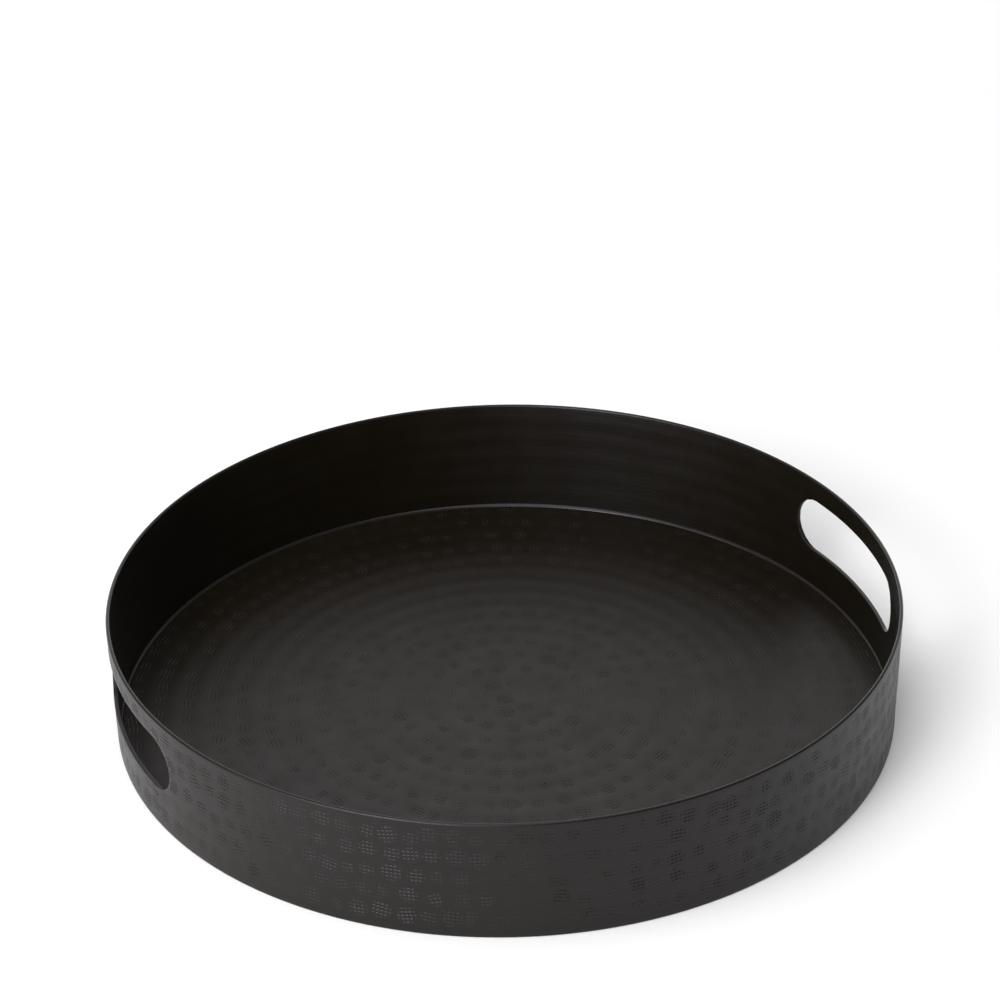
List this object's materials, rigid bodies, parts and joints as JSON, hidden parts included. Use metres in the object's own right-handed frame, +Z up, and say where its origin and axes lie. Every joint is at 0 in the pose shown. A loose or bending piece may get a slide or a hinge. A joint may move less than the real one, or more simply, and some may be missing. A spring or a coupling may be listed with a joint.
{
  "type": "serving tray",
  "caption": "Round metal serving tray with a flat base, a straight upright wall and two long hand slots cut through the wall on opposite sides, for carrying food and drinks.",
  "frame": {"origin": "centre of the underside, on the surface that the tray stands on", "axes": "+Z up along the axis of the round wall, +X and -X through the middles of the two hand slots"},
  "size_m": [0.38, 0.38, 0.0615],
  "materials": {
    "wall_coat": "satin black baked coating over hammered steel strip",
    "base_coat": "satin black baked coating over hammered steel disc",
    "weld_coat": "satin black baked coating over dressed weld"
  },
  "bodies": {
    "root": {"wall_band": "wall_coat", "base_disc": "base_coat", "base_weld_bead": "weld_coat", "wall_seam_weld": "weld_coat"}
  },
  "joints": []
}
